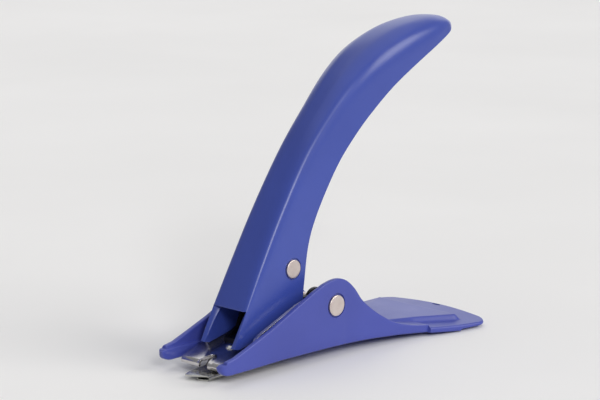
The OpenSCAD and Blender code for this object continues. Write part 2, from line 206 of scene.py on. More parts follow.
def carve(obj, build_cutter):
    """Cuts a closed solid, which build_cutter draws, out of obj's own mesh."""
    bm = bmesh.new()
    build_cutter(bm)
    bmesh.ops.recalc_face_normals(bm, faces=bm.faces)
    mesh = bpy.data.meshes.new("cutter")
    bm.to_mesh(mesh)
    bm.free()
    cutter = bpy.data.objects.new("cutter", mesh)
    bpy.context.collection.objects.link(cutter)
    modifier = obj.modifiers.new("cut", "BOOLEAN")
    modifier.operation = "DIFFERENCE"
    modifier.solver = "EXACT"
    modifier.object = cutter
    graph = bpy.context.evaluated_depsgraph_get()
    cut = bpy.data.meshes.new_from_object(obj.evaluated_get(graph))
    obj.modifiers.remove(modifier)
    obj.data = cut
    bpy.data.objects.remove(cutter)


def round_edges(obj, radius_mm, segments=3, angle=35):
    """Rounds the edges sharper than angle and keeps flat faces flat in the shading."""
    modifier = obj.modifiers.new("rounding", "BEVEL")
    modifier.width = radius_mm * MM
    modifier.segments = segments
    modifier.limit_method = "ANGLE"
    modifier.angle_limit = math.radians(angle)
    modifier.harden_normals = True


def crease(obj, angle=35):
    """Keeps edges sharper than angle crisp in the shading, without new faces."""
    obj.data.set_sharp_from_angle(angle=math.radians(angle))


# ----------------------------------------------------------------- materials

def shader(name, roughness, metallic=0.0, coat=0.0):
    """A material with its main shader's plain values set."""
    material = bpy.data.materials.new(name)
    material.use_nodes = True
    main = material.node_tree.nodes["Principled BSDF"]
    main.inputs["Roughness"].default_value = roughness
    main.inputs["Metallic"].default_value = metallic
    main.inputs["Coat Weight"].default_value = coat
    return material, material.node_tree.nodes, material.node_tree.links, main


def noise(nodes, links, scale, detail=2.0, stretch=None):
    """A noise texture in object space, stretched if asked."""
    coords = nodes.new("ShaderNodeTexCoord").outputs["Object"]
    if stretch:
        mapping = nodes.new("ShaderNodeMapping")
        mapping.inputs["Scale"].default_value = stretch
        links.new(coords, mapping.inputs["Vector"])
        coords = mapping.outputs["Vector"]
    texture = nodes.new("ShaderNodeTexNoise")
    texture.inputs["Scale"].default_value = scale
    texture.inputs["Detail"].default_value = detail
    links.new(coords, texture.inputs["Vector"])
    return texture


def ramp(nodes, links, source, stops):
    """A colour ramp between two stops of (position, colour)."""
    node = nodes.new("ShaderNodeValToRGB")
    for element, (position, colour) in zip(node.color_ramp.elements, stops):
        element.position, element.color = position, colour
    links.new(source, node.inputs["Fac"])
    return node


def bump(nodes, links, height, strength, distance, normal=None):
    """A bump from height, distance metres deep, laid over another one if given."""
    node = nodes.new("ShaderNodeBump")
    node.inputs["Strength"].default_value = strength
    node.inputs["Distance"].default_value = distance
    links.new(height, node.inputs["Height"])
    if normal is not None:
        links.new(normal, node.inputs["Normal"])
    return node


def roughness_range(nodes, links, source, low, high, main):
    """Varies the main shader's roughness from low to high with source."""
    node = nodes.new("ShaderNodeMapRange")
    node.inputs["To Min"].default_value = low
    node.inputs["To Max"].default_value = high
    links.new(source, node.inputs["Value"])
    links.new(node.outputs["Result"], main.inputs["Roughness"])


def moulded_plastic(name, deep, pale, roughness):
    """Satin injection-moulded plastic: faint flow clouding, fine mould grain,
    small handling marks and slightly polished wear."""
    material, nodes, links, main = shader(name, roughness, coat=0.12)
    main.inputs["Coat Roughness"].default_value = 0.25
    main.inputs["IOR"].default_value = 1.5
    clouds = noise(nodes, links, 38.0, 3.0)
    colour = ramp(nodes, links, clouds.outputs["Fac"], [(0.3, deep), (0.72, pale)])
    links.new(colour.outputs["Color"], main.inputs["Base Color"])
    smears = noise(nodes, links, 120.0, 4.0, stretch=(1.0, 1.0, 0.35))
    roughness_range(nodes, links, smears.outputs["Fac"], roughness - 0.05, roughness + 0.07, main)
    grain = noise(nodes, links, 5200.0, 1.0)
    ripple = noise(nodes, links, 85.0, 1.5)
    soft = bump(nodes, links, ripple.outputs["Fac"], 0.12, 0.00035)
    fine = bump(nodes, links, grain.outputs["Fac"], 0.10, 0.00003, soft.outputs["Normal"])
    links.new(fine.outputs["Normal"], main.inputs["Normal"])
    return material


def plated_steel(name, dark, light, roughness, grain_stretch=(1.0, 18.0, 1.0)):
    """Nickel-plated sheet: rolling grain, faint cloudiness and rub marks."""
    material, nodes, links, main = shader(name, roughness, metallic=1.0)
    clouds = noise(nodes, links, 260.0, 3.0)
    colour = ramp(nodes, links, clouds.outputs["Fac"], [(0.3, dark), (0.75, light)])
    links.new(colour.outputs["Color"], main.inputs["Base Color"])
    grain = noise(nodes, links, 900.0, 2.0, stretch=grain_stretch)
    roughness_range(nodes, links, grain.outputs["Fac"], roughness - 0.06, roughness + 0.10, main)
    waves = noise(nodes, links, 160.0, 2.0)
    soft = bump(nodes, links, waves.outputs["Fac"], 0.15, 0.0002)
    fine = bump(nodes, links, grain.outputs["Fac"], 0.08, 0.00002, soft.outputs["Normal"])
    links.new(fine.outputs["Normal"], main.inputs["Normal"])
    return material


# Each material's darkest and palest colour and its mean roughness. The photo's
# handle is a shade deeper and glossier than its base.
BLUE_HANDLE = moulded_plastic("blue_plastic_handle", (0.035, 0.062, 0.325, 1),
                              (0.042, 0.074, 0.375, 1), 0.32)
BLUE_BASE = moulded_plastic("blue_plastic_base", (0.045, 0.062, 0.335, 1),
                            (0.053, 0.073, 0.385, 1), 0.40)
RIVET = plated_steel("nickel_rivet", (0.66, 0.57, 0.53, 1), (0.80, 0.71, 0.67, 1), 0.36,
                     (1.0, 1.0, 1.0))
SMALL_RIVET = plated_steel("small_rivet", (0.60, 0.60, 0.60, 1), (0.75, 0.75, 0.74, 1), 0.22)
JAW = plated_steel("jaw_nickel", (0.52, 0.50, 0.50, 1), (0.70, 0.68, 0.68, 1), 0.17)
BLADE = plated_steel("blade_nickel", (0.48, 0.48, 0.45, 1), (0.66, 0.66, 0.62, 1), 0.20)
# The bracket's near-black colour is painted shade. It keeps the hollow behind the handle's mouth
# as dark as its shadow.
BRACKET_PAINTED_SHADE = plated_steel("bracket_steel", (0.035, 0.036, 0.040, 1), (0.07, 0.07, 0.075, 1), 0.45)
WASHER = plated_steel("dark_washer", (0.16, 0.16, 0.17, 1), (0.26, 0.26, 0.27, 1), 0.42)
SLEEVE = plated_steel("sleeve_steel", (0.34, 0.34, 0.35, 1), (0.48, 0.48, 0.49, 1), 0.30,
                      (1.0, 1.0, 20.0))
SPRING = plated_steel("spring_wire", (0.42, 0.42, 0.43, 1), (0.58, 0.58, 0.59, 1), 0.22)


# -------------------------------------------------------------------- handle

HALF_W = 7.8         # half width of the handle's lower part and of its legs
GRIP_W = 10.2        # half width of the grip at its widest
SHELL = 1.8          # wall thickness
FINGER_X = -53.8     # where the jaw frame's floor turns down into its fingers
FLOOR_Z = 5.0        # height of that floor there
FLOOR_SLOPE = 0.23   # and its rise to the rear


def floor_at(x):
    """Height of the jaw frame's floor, drawn in mm."""
    return FLOOR_Z + (x - FINGER_X) * FLOOR_SLOPE


# The legs stand FOOT_GAP above the jaw frame's floor, from HEEL_X to TOE_X
FOOT_GAP = 2.0
HEEL_X = -18.2
HEEL_Z = floor_at(HEEL_X) + FOOT_GAP
TOE_X = -49.0
TOE_LIFT = 0.9
LEG_ROWS = 8

# Cross-sections: front x, front z, rear x, rear z, half width at the rim, half
# width between the two ridges, front crown, shoulder radius
HANDLE_ROWS = [
    (-43.9, 20.4, HEEL_X, HEEL_Z + 0.2, HALF_W, HALF_W, 0.2, 2.2),
    (-36.4, 34.9, -17.4, 25.5, HALF_W, HALF_W, 0.3, 4.6),
    (-27.5, 50.3, -14.1, 42.0, HALF_W + 0.1, HALF_W - 0.2, 0.4, 5.4),
    (-15.7, 67.8, -4.0, 60.4, HALF_W + 0.8, HALF_W - 0.6, 0.6, 5.8),
    (-4.6, 80.8, 6.2, 72.2, GRIP_W - 1.0, GRIP_W - 2.5, 1.2, 6.2),
    (5.6, 91.3, 16.4, 81.2, GRIP_W - 0.2, GRIP_W - 1.0, 2.5, 6.4),
    (16.3, 98.9, 24.4, 86.9, GRIP_W + 0.2, GRIP_W - 0.1, 3.3, 7.4),
    (30.4, 104.2, 34.6, 92.4, GRIP_W + 0.1, GRIP_W, 3.4, 7.0),
    (44.5, 106.4, 46.4, 97.7, GRIP_W - 0.9, GRIP_W - 1.1, 2.9, 4.8),
    (53.9, 106.2, 54.9, 100.8, GRIP_W - 3.2, GRIP_W - 3.7, 2.2, 1.8),
    (58.8, 104.7, 58.9, 102.3, GRIP_W - 6.0, GRIP_W - 6.4, 1.2, 1.0),
    (60.5, 103.8, 60.4, 102.7, 2.4, 2.2, 0.5, 0.4),
    (61.2, 103.1, 61.1, 102.8, 0.7, 0.6, 0.1, 0.1),
]
SPLINE_STEPS = 6                  # along each span of a cross-section
RIDGE_INDEX = SPLINE_STEPS * 5    # the near ridge's place in it
ROW_STEPS = 8                     # cross-sections from one row to the next


def spline(points, steps):
    """A uniform cubic B-spline that starts and ends on its first and last
    points, with steps points from one control point to the next."""
    ends = [points[0]] * 2 + list(points) + [points[-1]] * 2
    out = []
    for a, b, c, d in zip(ends, ends[1:], ends[2:], ends[3:]):
        for k in range(steps):
            t = k / steps
            weights = ((1 - t) ** 3 / 6, (3 * t ** 3 - 6 * t * t + 4) / 6,
                       (-3 * t ** 3 + 3 * t * t + 3 * t + 1) / 6, t ** 3 / 6)
            out.append(tuple(sum(w * p[i] for w, p in zip(weights, (a, b, c, d)))
                             for i in range(len(a))))
    out.append(tuple(points[-1]))
    return out


def handle_section(rim, ridge, depth, crown, radius, lift):
    """One open cross-section as (y, depth): up the near flank, over the near
    ridge, across the crowned front and down the far side. lift is how far
    inside the outer face it runs."""
    rim, ridge = rim - lift, ridge - lift
    drop = depth - crown - lift
    radius = min(radius, drop * 0.8, ridge * 0.7)
    slope = 3 * crown / max(ridge, 0.1)
    reach = radius / math.hypot(1, slope)
    corner = radius / drop
    flank = [1.0, 0.67 + 0.33 * corner, 0.33 + 0.67 * corner]
    half = [(-ridge - (rim - ridge) * t, crown + lift + drop * t) for t in flank]
    half.append((-ridge - (rim - ridge) * corner, crown + lift + radius))
    half.append((-ridge, crown + lift))
    half += [(-u, lift + crown * (u / ridge) ** 3)
             for u in (ridge - reach, (ridge - reach) * 0.62, (ridge - reach) * 0.3)]
    return spline(half + [(0, lift)] + [(-y, d) for y, d in reversed(half)], SPLINE_STEPS)


def handle_points(row, lift):
    """A cross-section of the handle in space, lift mm inside its outer face."""
    fx, fz, rx, rz, rim, ridge, crown, radius = row
    depth = math.hypot(rx - fx, rz - fz)
    dx, dz = (rx - fx) / depth, (rz - fz) / depth
    return [at(fx + dx * d, y, fz + dz * d)
            for y, d in handle_section(rim, ridge, depth, crown, radius, lift)]


def wall_at(row):
    """Thickness of the shell at a cross-section: it thins where the grip ends."""
    fx, fz, rx, rz = row[:4]
    return min(SHELL, 0.34 * (math.hypot(rx - fx, rz - fz) - row[6]), row[5] * 0.4)


# Across a rounded rim: how far along it as a share of its width, and how far
# it stands out as a share of RIM_HEIGHT
RIM_SHAPE = [(0.05, 0.45), (0.17, 0.85), (0.5, 1.0), (0.83, 0.85), (0.95, 0.45)]
RIM_HEIGHT = 0.34


def round_rim(bm, one, other, within):
    """Joins the outer face's edge to the inner face's with a rounded rim, which
    runs out flat at both ends. within are the outer face's next vertices."""
    last = len(one) - 1
    rows = [one]
    for across, out in RIM_SHAPE:
        row = []
        for i, (a, b, c) in enumerate(zip(one, other, within)):
            height = RIM_HEIGHT * MM * out * min(min(i, last - i) / 3, 1.0)
            height = min(height, 0.3 * (a.co - b.co).length)
            away = (a.co - c.co).normalized()
            row.append(bm.verts.new(a.co.lerp(b.co, across) + away * height))
        rows.append(row)
    for upper, lower in zip(rows, rows[1:] + [other]):
        bridge(bm, upper, lower)


def build_leg(bm, top, sign, half):
    """One face of a leg, hung from the vertices top, rear rim first."""
    last = len(top) - 1
    rows = [list(top)]
    for i in range(1, LEG_ROWS + 1):
        t = i / LEG_ROWS
        row = []
        for j in range(last + 1):
            u = j / last
            foot_x = HEEL_X + (TOE_X - HEEL_X) * u
            foot_z = floor_at(foot_x) + FOOT_GAP + TOE_LIFT * max(u - 0.93, 0) / 0.07
            foot = at(foot_x, sign * half, foot_z)
            start = top[j].co
            point = start.lerp(foot, t)
            point.y = start.y + (foot.y - start.y) * ease(t * 1.15)
            row.append(bm.verts.new(point))
        bridge(bm, rows[-1], row)
        rows.append(row)
    return rows


def build_handle(bm):
    """The shell as one closed skin: outer face, inner face and the rims."""
    rows = smooth_rows(HANDLE_ROWS, ROW_STEPS)
    outer = grid(bm, [handle_points(row, 0) for row in rows])
    inner = grid(bm, [handle_points(row, wall_at(row)) for row in rows])
    for end, inward in ((0, 1), (-1, -2)):
        round_rim(bm, [row[end] for row in outer], [row[end] for row in inner],
                  [row[inward] for row in outer])
    first, last = RIDGE_INDEX, len(outer[0]) - RIDGE_INDEX
    round_rim(bm, outer[0][first:last], inner[0][first:last], outer[1][first:last])
    for sign in (-1, 1):
        legs = []
        for face, half in ((outer[0], HALF_W), (inner[0], HALF_W - SHELL)):
            ordered = face if sign < 0 else list(reversed(face))
            legs.append(build_leg(bm, ordered[:RIDGE_INDEX + 1], sign, half))
        for end, inward in ((0, 1), (-1, -2)):
            round_rim(bm, [row[end] for row in legs[0]], [row[end] for row in legs[1]],
                      [row[inward] for row in legs[0]])
        round_rim(bm, legs[0][-1], legs[1][-1], legs[0][-2])
    bmesh.ops.remove_doubles(bm, verts=bm.verts, dist=0.002 * MM)
    close_holes(bm)


def round_bar(centre, radius, y0, y1, steps=64):
    """A builder for a plain cylinder along Y, for cutting seats and bores."""
    def build(bm):
        lathe(bm, Vector((centre[0], 0, centre[2])), 1, [(radius, y0), (radius, y1)], steps)
    return build


def cut_seats(obj, centre, seat_r, depth, half, bore_r):
    """The shallow seats of a rivet's two heads and the bore between them."""
    for sign in (-1, 1):
        carve(obj, round_bar(centre, seat_r, sign * (half - depth), sign * (half + 2)))
    carve(obj, round_bar(centre, bore_r, -half - 1, half + 1))


handle = new_object("handle_shell", build_handle, BLUE_HANDLE, "lever_body")
GRIP_SEAT = 0.4      # depth of the seats round the grip's rivet
cut_seats(handle, GRIP_PIN, seat_r=3.65, depth=GRIP_SEAT, half=HALF_W, bore_r=1.8)
crease(handle)
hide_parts("handle")

RIB_ROWS = (2.45, 3.75, 5.0, 6.2)   # places along HANDLE_ROWS
RIB_T = 1.2
RIB_STEPS = 20
RIB_TRIM = 7                        # points left off at each end, at the rim
RIB_BITE = 0.15                     # how far a rib reaches into the shell


def build_ribs(bm):
    """Thin ribs across the hollow of the grip, each a closed plate."""
    rows = smooth_rows(HANDLE_ROWS, RIB_STEPS)
    for place in RIB_ROWS:
        row, along = rows[int(place * RIB_STEPS):][:2]
        step = Vector((along[0] - row[0], 0, along[1] - row[1])).normalized()
        faces = []
        for offset in (0, RIB_T * MM):
            points = handle_points(row, SHELL - RIB_BITE)[RIB_TRIM:-RIB_TRIM]
            faces.append([bm.verts.new(p + step * offset) for p in points])
        one, other = faces
        bm.faces.new(one)
        bm.faces.new(list(reversed(other)))
        bridge(bm, one + one[:1], other + other[:1])


ribs = new_object("handle_ribs", build_ribs, BLUE_HANDLE, "lever_body")
crease(ribs)

# ---------------------------------------------------------------------- base

HALF_FORK = 15.0       # half width over the prongs
CHEEK = 1.8            # thickness of the cheek walls
RAIL = 2.8             # thickness of the foot rails
RAIL_TOP = 7.4
RAIL_EDGE = 0.45       # radius of their inner top edge
LUG_TIP = -61.6        # front end of the prongs
NOSE_END = -57.0       # and the rear end of their rounded undersides
NOSE_R = 2.0           # the prongs' front radius, seen from above
CHEEK_FRONT = -58.9
DECK_FRONT = -25.0     # front edge of the floor between the cheeks
STEP_X = 31.8          # where the leaf begins, a step wider than the cheeks
LEAF_GAP = 0.06        # half of the step's length
LEAF_END = 59.4
LEAF_TOP = 3.1
HALF_LEAF = 24.5
CORNER_X = 52.0        # where the leaf's rear corners begin
CORNER_R = 6.0
FAN_X = 50.0           # the point that the leaf's rear rows spread from
SOLE_INSET = 2.6
SOLE_FRONT = 44.0      # behind it the leaf's rim stands RIM_LOW above the table
RIM_LOW = 0.9
PAD_FRONT = 8.0
PAD_END = 47.6

# Half width in plan, the cheek's top edge, the underside, the floor between the
# cheeks, and the raised pad's half width and height, each as (x, value)
CHEEK_PLAN = smooth_rows([(-62, HALF_FORK), (-30, HALF_FORK), (-8, HALF_FORK), (-4, HALF_FORK),
                          (8, 15.8), (20, 17.2), (STEP_X, 18.9)], 8)
LEAF_PLAN = smooth_rows([(STEP_X, 19.9), (38, 21.9), (45, 23.5), (CORNER_X, 24.4)], 8)
CHEEK_TOP = ([(CHEEK_FRONT, 8.3), (-55.5, 8.9), (-50, 10.9), (-40, 14.7), (-30, 19.2), (-20, 23.7)]
             + smooth_rows([(-15.4, 25.5), (-11.6, 26.3), (-8, 26.3), (-4.4, 25), (-0.9, 21.9),
                            (2.2, 17.8), (6.2, 14.2), (11.3, 10.6), (17.5, 7.2), (24, 5.2),
                            (30, 4.1)], 8) + [(STEP_X, 3.9)])
BELLY = [(-57, 3.6), (-48, 3.7), (-34, 4.0), (-12, 3.8), (5, 3.3), (20, 2.4), (STEP_X, 1.3),
         (42, 0.6), (46, 0), (LEAF_END, 0)]
DECK = [(DECK_FRONT, 7.2), (2, 7.0), (14, 5.6), (22, 4.8), (STEP_X, 4.0)]
FAN = [(PAD_FRONT, 5), (20, 7.2), (34, 12.8), (46.4, 18.0), (60, 18.0)]
PAD_TOP = [(PAD_FRONT, 6.4), (20, 5.5), (34, 5.2), (46, 4.7), (60, 4.3)]
LEAF_FALL = math.tan(math.radians(1.7))
LEAF_CROWN = 1 / 480


def half_width(x):
    """Outer half width of the cheeks, then of the leaf."""
    return lerp_at(CHEEK_PLAN if x < STEP_X else LEAF_PLAN, x)


def leaf_z(x, y):
    """Top of the leaf: it falls to the rear and is crowned across."""
    return LEAF_TOP + (LEAF_END - x) * LEAF_FALL - y * y * LEAF_CROWN


def top_z(x, y):
    """Top of the floor between the cheeks, of the leaf, and of its raised pad."""
    floor = lerp_at(DECK, x) if x < STEP_X else leaf_z(x, y)
    rail = RAIL_TOP - lerp_at(DECK, DECK_FRONT)
    floor += rail * (1 - ease((x - DECK_FRONT) / 4)) * ease((abs(y) - 10.7) / 1.0)
    inside = min(lerp_at(FAN, x) - abs(y), PAD_END - x + 0.4, (x - PAD_FRONT) * 0.5)
    lift = max(lerp_at(PAD_TOP, x) - floor, 0)
    return floor + lift * ease((inside + 0.9) / 1.8)


def outer_wall(half, rim_z, low_z, inner_y, foot_z):
    """The shared part of a cross-section, from the rail's inner top, over the
    cheek and down to the underside, as (y, z) on the near side."""
    wall = max(half - CHEEK, inner_y + 0.1)
    rise = max(rim_z - foot_z, 0.0)
    fillet = min(0.5, rise * 0.4)
    lip = min(0.5, rise * 0.5)
    rim = min(0.5, rise * 0.5 + 0.12, (rim_z - low_z) * 0.3)
    points = [(inner_y, foot_z), ((inner_y + wall - fillet) / 2, foot_z)]
    points += [(wall - fillet + fillet * math.sin(a), foot_z + fillet * (1 - math.cos(a)))
               for a in (0, math.pi / 4, math.pi / 2)]
    span = rise - lip - fillet
    points += [(wall, foot_z + fillet + span * t) for t in (0.3, 0.6, 0.85, 1.0)]
    points += [(wall + lip * (1 - math.cos(a)), rim_z - lip * (1 - math.sin(a)))
               for a in (math.pi * k / 8 for k in (1, 2, 3, 4))]
    points += [(half - rim * (1 - math.sin(a)), rim_z - rim * (1 - math.cos(a)))
               for a in (math.pi * k / 8 for k in (0, 1, 2, 3, 4))]
    foot = min(0.6, (rim_z - low_z) * 0.3)
    drop = rim_z - rim - low_z - foot
    points += [(half, rim_z - rim - drop * t) for t in (0.2, 0.4, 0.6, 0.8, 1.0)]
    points += [(half - foot * (1 - math.cos(a)), low_z + foot * (1 - math.sin(a)))
               for a in (math.pi / 6, math.pi / 3, math.pi / 2)]
    return points


def prong_ring(x):
    """One closed cross-section of a prong, rail's inner face first."""
    half = HALF_FORK
    low = lerp_at(BELLY, x)
    rim_z = lerp_at(CHEEK_TOP, x)
    rail_z = RAIL_TOP
    if x < CHEEK_FRONT:
        rim_z = RAIL_TOP + 0.9 * (1 - ease((CHEEK_FRONT - x) / 0.5))
    if x < NOSE_END:
        low = RAIL_TOP - 3.8 * max(1 - ((NOSE_END - x) / 4.62) ** 2.5, 0.0) ** 0.4
    round_end = LUG_TIP + NOSE_R
    if x < round_end:
        half -= NOSE_R - math.sqrt(max(NOSE_R ** 2 - (round_end - x) ** 2, 0.0))
    nose = 1 - ease((x - LUG_TIP) / 1.6)
    rim_z -= 0.5 * nose * nose
    rail_z = min(rail_z - 0.5 * nose * nose, rim_z)
    inner = HALF_FORK - RAIL + 0.3 * nose
    height = rail_z - low
    edge = min(RAIL_EDGE, height * 0.3)
    foot = min(0.35, height * 0.3)
    face = [(inner + foot, low), (inner, low + foot)]
    face += [(inner, low + height * t) for t in (0.35, 0.6)] + [(inner, rail_z - edge)]
    face += [(inner + edge * (1 - math.cos(a)), rail_z - edge * (1 - math.sin(a)))
             for a in (math.pi / 8, math.pi / 4, math.pi * 3 / 8)]
    return face, outer_wall(half, rim_z, low, inner + edge, rail_z)


def across(inner, fan):
    """Places from the centre line to the foot of the cheek or the leaf's rim,
    closer together near the raised pad's edge, which is fan away."""
    breaks = [0.0, max(min(fan - 1.0, inner - 2.2), 0.5),
              max(min(fan + 1.0, inner - 1.2), 1.5), inner]
    places = []
    for a, b, steps in zip(breaks, breaks[1:], (12, 8, 6)):
        places += [a + (b - a) * k / steps for k in range(steps)]
    return places


def channel_section(x):
    """Half a cross-section behind the deck's front, from the centre line out
    and back along the underside."""
    half = half_width(x)
    inner = half - RAIL + RAIL_EDGE
    low = lerp_at(BELLY, x)
    top = [(y, top_z(x, y)) for y in across(inner, lerp_at(FAN, x))]
    foot_z = top_z(x, inner)
    rim_z = max(lerp_at(CHEEK_TOP, x), foot_z + 0.02)
    wall = outer_wall(half, rim_z, low, inner, foot_z)
    under = [(inner - 0.1, low)] + [(inner * t, low) for t in (0.75, 0.5, 0.25, 0.0)]
    return top, wall, under


def leaf_rows():
    """Plan positions of the leaf's rows: (centre x, edge x, edge half width)."""
    start = STEP_X + LEAF_GAP
    straight = [start + (CORNER_X - start) * i / 52 for i in range(52)]
    rows = [(min(x, FAN_X), x, half_width(x)) for x in straight]
    corner = [(CORNER_X + CORNER_R * math.cos(math.radians(a)),
               HALF_LEAF - CORNER_R + CORNER_R * math.sin(math.radians(a)))
              for a in range(86, 12, -6)]
    rows += [(FAN_X, x, y) for x, y in corner]
    last_x, last_y = corner[-1]
    steps = 24
    rows += [(FAN_X, last_x + (LEAF_END - last_x) * ease(i / steps) ** 0.6,
              last_y * (1 - i / steps)) for i in range(1, steps + 1)]
    return rows


def leaf_section(centre_x, edge_x, edge_y):
    """Half a cross-section of the leaf as 3-D points, from the centre line out
    to the rim and back along the sole."""
    reach = math.hypot(edge_x - centre_x, edge_y)
    dx, dy = (edge_x - centre_x) / reach, edge_y / reach
    inner = reach - RAIL + RAIL_EDGE

    def spot(d, z=None):
        x, y = centre_x + dx * d, dy * d
        return (x, y, top_z(x, y) if z is None else z)

    top = [spot(d) for d in across(inner, lerp_at(FAN, edge_x))]
    rim = 0.75
    wall = [spot(inner + (reach - rim - inner) * k / 13) for k in range(14)]
    rim_z = spot(reach - rim)[2]
    wall += [spot(reach - rim * (1 - math.sin(a)), rim_z - rim * (1 - math.cos(a)))
             for a in (math.pi * k / 10 for k in (1, 2, 3, 4, 5))]
    low = lerp_at(BELLY, edge_x)
    ledge = max(low, RIM_LOW if edge_x > SOLE_FRONT else low)
    side_z = rim_z - rim
    wall += [spot(reach, side_z + (ledge + 0.25 - side_z) * t) for t in (0.35, 0.7, 1.0)]
    wall += [spot(reach - 0.25, ledge)]
    sole = reach - SOLE_INSET
    wall += [spot(sole + 0.15, ledge), spot(sole, max(ledge - 0.15, low))]
    wall += [spot(sole, low)]
    under = [spot(sole * t, low) for t in (0.97, 0.75, 0.5, 0.25, 0.0)]
    return top, wall, under


def build_base(bm):
    """The whole moulding as one closed skin: two prongs, the channel and the leaf."""
    nose = [LUG_TIP + 3.0 * (1 - math.cos(math.pi / 2 * i / 12)) for i in range(13)]
    nose[0] += 0.02
    prong_xs = (nose + [-58.5, -58, -57.5, -57, -56.2] + [-55.5 + i for i in range(31)]
                 + [DECK_FRONT])
    channel_xs = [DECK_FRONT + (STEP_X - LEAF_GAP - DECK_FRONT) * i / 84 for i in range(85)]
    for sign in (-1, 1):
        rings = []
        for x in prong_xs:
            face, wall = prong_ring(x)
            rings.append([at(x, sign * y, z) for y, z in face + wall])
        made = grid(bm, rings, closed=True)
        bm.faces.new(made[0])
        rows = []
        for x in channel_xs:
            top, wall, under = channel_section(x)
            rows.append([at(x, sign * y, z) for y, z in top + wall + under])
        for row in leaf_rows():
            top, wall, under = leaf_section(*row)
            rows.append([at(x, sign * y, z) for x, y, z in top + wall + under])
        grid(bm, rows)
    bmesh.ops.remove_doubles(bm, verts=bm.verts, dist=0.01 * MM)
    # What is still open is the front of the floor, between the two rails
    close_holes(bm)


base = new_object("base_moulding", build_base, BLUE_BASE, "base_body")
PIVOT_SEAT = 0.5       # depth of the seats round the pivot rivet
cut_seats(base, PIVOT, seat_r=4.1, depth=PIVOT_SEAT, half=HALF_FORK, bore_r=2.05)

SLOT_R = 0.6
SLOT_HALF = 1.2
SLOT_X = LEAF_END - 1.8


def build_slot(bm):
    """The small slot through the leaf near its rear edge."""
    outline = ([(SLOT_R * math.cos(a), SLOT_HALF + SLOT_R * math.sin(a))
                for a in (math.pi * k / 8 for k in range(9))]
               + [(-SLOT_R * math.cos(a), -SLOT_HALF - SLOT_R * math.sin(a))
                  for a in (math.pi * k / 8 for k in range(9))])
    top, low = ([bm.verts.new(at(SLOT_X + x, y, z)) for x, y in outline] for z in (8, -2))
    bm.faces.new(top)
    bm.faces.new(list(reversed(low)))
    bridge(bm, top + top[:1], low + low[:1])


carve(base, build_slot)
crease(base, 40)
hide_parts("base")

# ------------------------------------------------------------------- rivets

def head_profile(radius, reach, height, dish):
    """A flat tubular-rivet head with a rounded rim, as (radius, height)."""
    top = reach + height
    edge = 0.32
    return ([(radius - 0.25, reach - 0.4), (radius, reach - 0.2), (radius, top - edge)]
            + [(radius - edge + edge * math.cos(math.radians(a)),
                top - edge + edge * math.sin(math.radians(a))) for a in (22, 45, 67, 90)]
            + [(radius * 0.75, top - 0.02), (radius * 0.5, top - dish),
               (radius * 0.25, top - dish * 1.1), (0.02, top - dish * 1.15)])


def tube_profile(radius, reach, height, hole):
    """The rolled end of a tubular rivet, as (radius, height)."""
    top = reach + height
    roll = (radius - hole) / 2
    return ([(radius - 0.5, reach - 0.3), (radius - 0.3, reach)]
            + [(radius - roll + roll * math.cos(math.radians(a)),
                top - roll * 0.8 + roll * 0.8 * math.sin(math.radians(a)))
               for a in range(0, 181, 18)]
            + [(hole, top - 1.2), (hole - 0.1, top - 2.2), (0.02, top - 2.3)])


def build_rivet(centre, shank, head, reach, hole):
    """A builder for a tubular rivet: its near head, its far rolled end and its
    shank, between two seats that lie reach away from the centre line."""
    def build(bm):
        lathe(bm, centre, -1, head_profile(head, reach, 0.88, 0.06))
        lathe(bm, centre, 1, tube_profile(head - 0.42, reach, 0.86, hole))
        lathe(bm, centre, 1, [(shank, -reach), (shank, reach)])
    return build


build_pivot = build_rivet(PIVOT, shank=2.0, head=3.5, reach=HALF_FORK - PIVOT_SEAT, hole=1.1)
pivot_rivet = new_object("pivot_rivet_turned", build_pivot, RIVET, "base_body")
round_edges(pivot_rivet, 0.05, 1, 50)
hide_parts("pivot_rivet")
build_pin = build_rivet(GRIP_PIN, shank=1.75, head=3.1, reach=HALF_W - GRIP_SEAT, hole=0.9)
handle_rivet = new_object("handle_rivet_turned", build_pin, RIVET, "lever_body")
round_edges(handle_rivet, 0.05, 1, 50)
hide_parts("handle_rivet")

# ----------------------------------------------------------------- jaw frame

FRAME_HALF = 11.7            # half width over the side walls
FRAME_T = 1.2
WALL_R = 6.1                 # radius of the side walls round the pivot
NOTCH_END = -50.1
LIP = 0.55                   # how far the notch's edge is raised
LEAN = math.hypot(1, FLOOR_SLOPE)


def under_at(x):
    """Height of the underside of the jaw frame's floor."""
    return floor_at(x) - FRAME_T * LEAN


# Half width of the notch between the fingers, and of the floor, each as (x, y)
NOTCH = [(-55.2, 2.0), (-54.4, 1.8), (-53, 1.5), (-51.6, 1.1), (-50.6, 0.6), (NOTCH_END, 0.0)]
FLOOR_HALF = [(-55.2, 10.7), (-53, 10.8), (-52, 11.3), (-50.8, 11.6), (-49, FRAME_HALF)]


def jaw_profile():
    """The floor from the rear to the fingers' ends, as (x, z, nx, nz) with the
    upward normal of the sheet."""
    rows = [(x, floor_at(x), -FLOOR_SLOPE / LEAN, 1 / LEAN)
            for x in (-20, -24, -28, -32, -36, -40, -43, -45.5, -47.5, -49, -49.8, NOTCH_END,
                      -50.35, -50.6, -51.1, -51.6, -52.3, -53)]
    bend = 1.5
    cx, cz = FINGER_X + 0.3, 3.5
    rows += [(cx + bend * math.cos(a), cz + bend * math.sin(a), math.cos(a), math.sin(a))
             for a in (math.radians(d) for d in range(100, 181, 8))]
    rows += [(cx - bend, 3.1, -1, 0), (cx - bend, 2.8, -1, 0)]
    return rows


